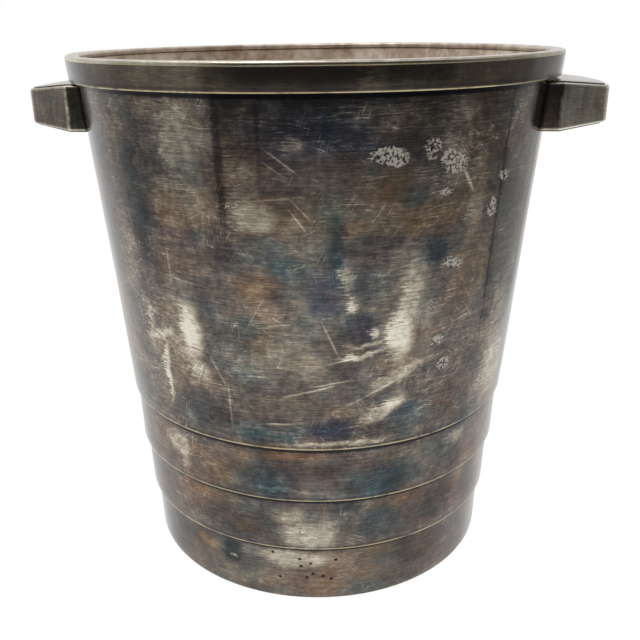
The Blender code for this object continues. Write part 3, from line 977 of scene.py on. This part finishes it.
WALL_SLOPE = (wall_profile[0][0] - wall_profile[1][0]) / (wall_profile[0][1] - wall_profile[1][1])
# the wall's radius in millimetres, carried down to height 0
WALL_START = (wall_profile[1][0] - WALL_SLOPE * wall_profile[1][1]) / MM


def folded_wear_and_painted_light(sizes):
    """Light wear, partly a painted highlight, on a strip's folds and long edges, a painted lighter outer
    facet and painted shade on the rest of the right handle, and grime at its seams and its root.
    """
    # On the right handle the outer facet is painted lighter and the rest of the strip painted darker:
    # painted light and shade.
    outer_facet_painted_light, strip_painted_shade = (0.36, -0.20) if sizes.sign > 0 else (0.02, 0.0)

    def extra(sheet, wear):
        recipe = sheet.recipe
        x = sheet.x.math("ABSOLUTE") * 1000.0
        y = sheet.y.math("ABSOLUTE") * 1000.0
        up = (sheet.height - sizes.level / MM).math("ABSOLUTE")
        taper = (sizes.root_half_height - sizes.tip_half_height) / (sizes.tip_x - sizes.crease_x)
        half = (x - sizes.crease_x / MM).math("MAXIMUM", 0.0) * -taper
        half = half + (sizes.root_half_height + COVER) / MM
        edge = recipe.step(half - up, 1.3, 0.6)
        crease = recipe.step((x - sizes.crease_x / MM).math("ABSOLUTE"), 1.1, 0.4)
        crease = crease * recipe.step(y, 27.0, 29.0) * recipe.step(sheet.mottle, 0.35, 0.6)
        tall = recipe.stretch(sheet.place, (500.0, 500.0, 60.0))
        streaks = recipe.noise(tall, 1.0, 3.0, 0.6)
        seam = recipe.step(half - up, 0.18, 0.06)
        wall = sheet.height * WALL_SLOPE + WALL_START - sheet.radius
        root = recipe.step(wall.math("ABSOLUTE"), 1.4, 0.5)
        outer_facet = recipe.step(x, sizes.crease_x / MM - 0.6, sizes.crease_x / MM + 0.8)
        wear = wear + outer_facet * outer_facet_painted_light + strip_painted_shade
        # The strip's long edges and the crease are lighter: wear, partly a painted highlight.
        wear = wear + edge * 0.27 + crease * 0.40 + (streaks - 0.5) * 0.35
        return wear - seam * 0.5 - root * 0.35, None
    return extra


def thicken(piece, thickness, side, even=False):
    """Gives a sheet its thickness, outwards (side 1) or inwards (side -1), and even round folds."""
    sheet = piece.modifiers.new("Sheet", "SOLIDIFY")
    sheet.thickness = thickness
    sheet.offset = side
    sheet.use_even_offset = even


def soften_edges(piece, width, segments):
    edge = piece.modifiers.new("Soft edges", "BEVEL")
    edge.width = width
    edge.segments = segments
    edge.limit_method = "ANGLE"
    edge.angle_limit = math.radians(50.0)


def make_handle_wall(side, sizes):
    shape = bmesh.new()
    lower = [shape.verts.new((x, y, -sizes.half_height(x) - COVER)) for x, y in sizes.outline(0.0)]
    edges = [shape.edges.new(pair) for pair in zip(lower, lower[1:])]
    raised = bmesh.ops.extrude_edge_only(shape, edges=edges)["geom"]
    for vert in raised:
        if isinstance(vert, bmesh.types.BMVert):
            vert.co.z = sizes.half_height(vert.co.x) + COVER
    bmesh.ops.recalc_face_normals(shape, faces=shape.faces)
    if sum(face.normal.x for face in shape.faces) < 0.0:
        bmesh.ops.reverse_faces(shape, faces=shape.faces)
    upright = [e for e in shape.edges
               if abs(e.verts[0].co.z - e.verts[1].co.z) > 2 * MM and len(e.link_faces) == 2]
    creases = [e for e in upright if abs(e.verts[0].co.x - sizes.crease_x) < 1e-5]
    corners = [e for e in upright if abs(abs(e.verts[0].co.y) - sizes.tip_half_width) < 1e-5]
    bmesh.ops.bevel(shape, geom=creases, offset=0.7 * MM, offset_type="OFFSET", affect="EDGES",
                    segments=3, profile=0.5, material=-1)
    bmesh.ops.bevel(shape, geom=[e for e in corners if e.is_valid], offset=2.3 * MM, offset_type="OFFSET",
                    affect="EDGES", segments=4, profile=0.5, material=-1)
    bmesh.ops.translate(shape, verts=shape.verts, vec=(0, 0, sizes.level))
    low_x = min(v.co.x for v in shape.verts)
    seat_on_wall([v for v in shape.verts if v.co.x < low_x + 0.05 * MM])
    bmesh.ops.scale(shape, verts=shape.verts, vec=(sizes.sign, sizes.sign, 1.0))
    name = f"{side}_handle_strip"
    # Painted light: the right strip gets a higher level than the left, offset by its painted shade.
    finish = handle_finish(name + "_finish", 0.66 if side == "right" else 0.52, folded_wear_and_painted_light(sizes))
    piece = finish_piece(name, shape, f"handle_{side}_wall", finish)
    thicken(piece, STRIP, -1.0, even=True)
    soften_edges(piece, 0.8 * MM, 5)


def make_plate(side, sizes, up):
    """The cover plate above (up 1) or below (up -1)."""
    node = f"handle_{side}_{'top' if up > 0 else 'bottom'}_plate"
    shape = bmesh.new()
    outline = sizes.outline(COVER_INSET)
    root_y = outline[0][1]
    root = [(0.0, -root_y * (1.0 - 2.0 * step / ROOT_STEPS)) for step in range(1, ROOT_STEPS)]
    points = [shape.verts.new((x, y, 0.0)) for x, y in outline + root]
    root_radius = radius_on(wall_profile, sizes.level + up * (sizes.root_half_height + COVER)) - SINK
    for vert in points[len(outline) - 1:] + points[:1]:
        vert.co.x = math.sqrt(root_radius ** 2 - vert.co.y ** 2)
    shape.faces.new(points)
    bmesh.ops.bisect_plane(shape, geom=shape.faces[:] + shape.edges[:] + shape.verts[:], dist=1e-6,
                           plane_co=(sizes.crease_x, 0, 0), plane_no=(1, 0, 0))
    for vert in shape.verts:
        vert.co.z = sizes.level + up * (sizes.half_height(vert.co.x) + COVER)
    bmesh.ops.recalc_face_normals(shape, faces=shape.faces)
    if sum(face.normal.z for face in shape.faces) * up < 0.0:
        bmesh.ops.reverse_faces(shape, faces=shape.faces)
    bmesh.ops.scale(shape, verts=shape.verts, vec=(sizes.sign, sizes.sign, 1.0))
    name = f"{side}_handle_{'top' if up > 0 else 'bottom'}_cover"
    finish = handle_finish(name + "_finish", 0.56, None)
    piece = finish_piece(name, shape, node, finish)
    thicken(piece, COVER, 1.0)
    soften_edges(piece, 0.35 * MM, 4)


for side in ("right", "left"):
    sizes = HandleSizes(side)
    make_handle_wall(side, sizes)
    make_plate(side, sizes, 1)
    make_plate(side, sizes, -1)
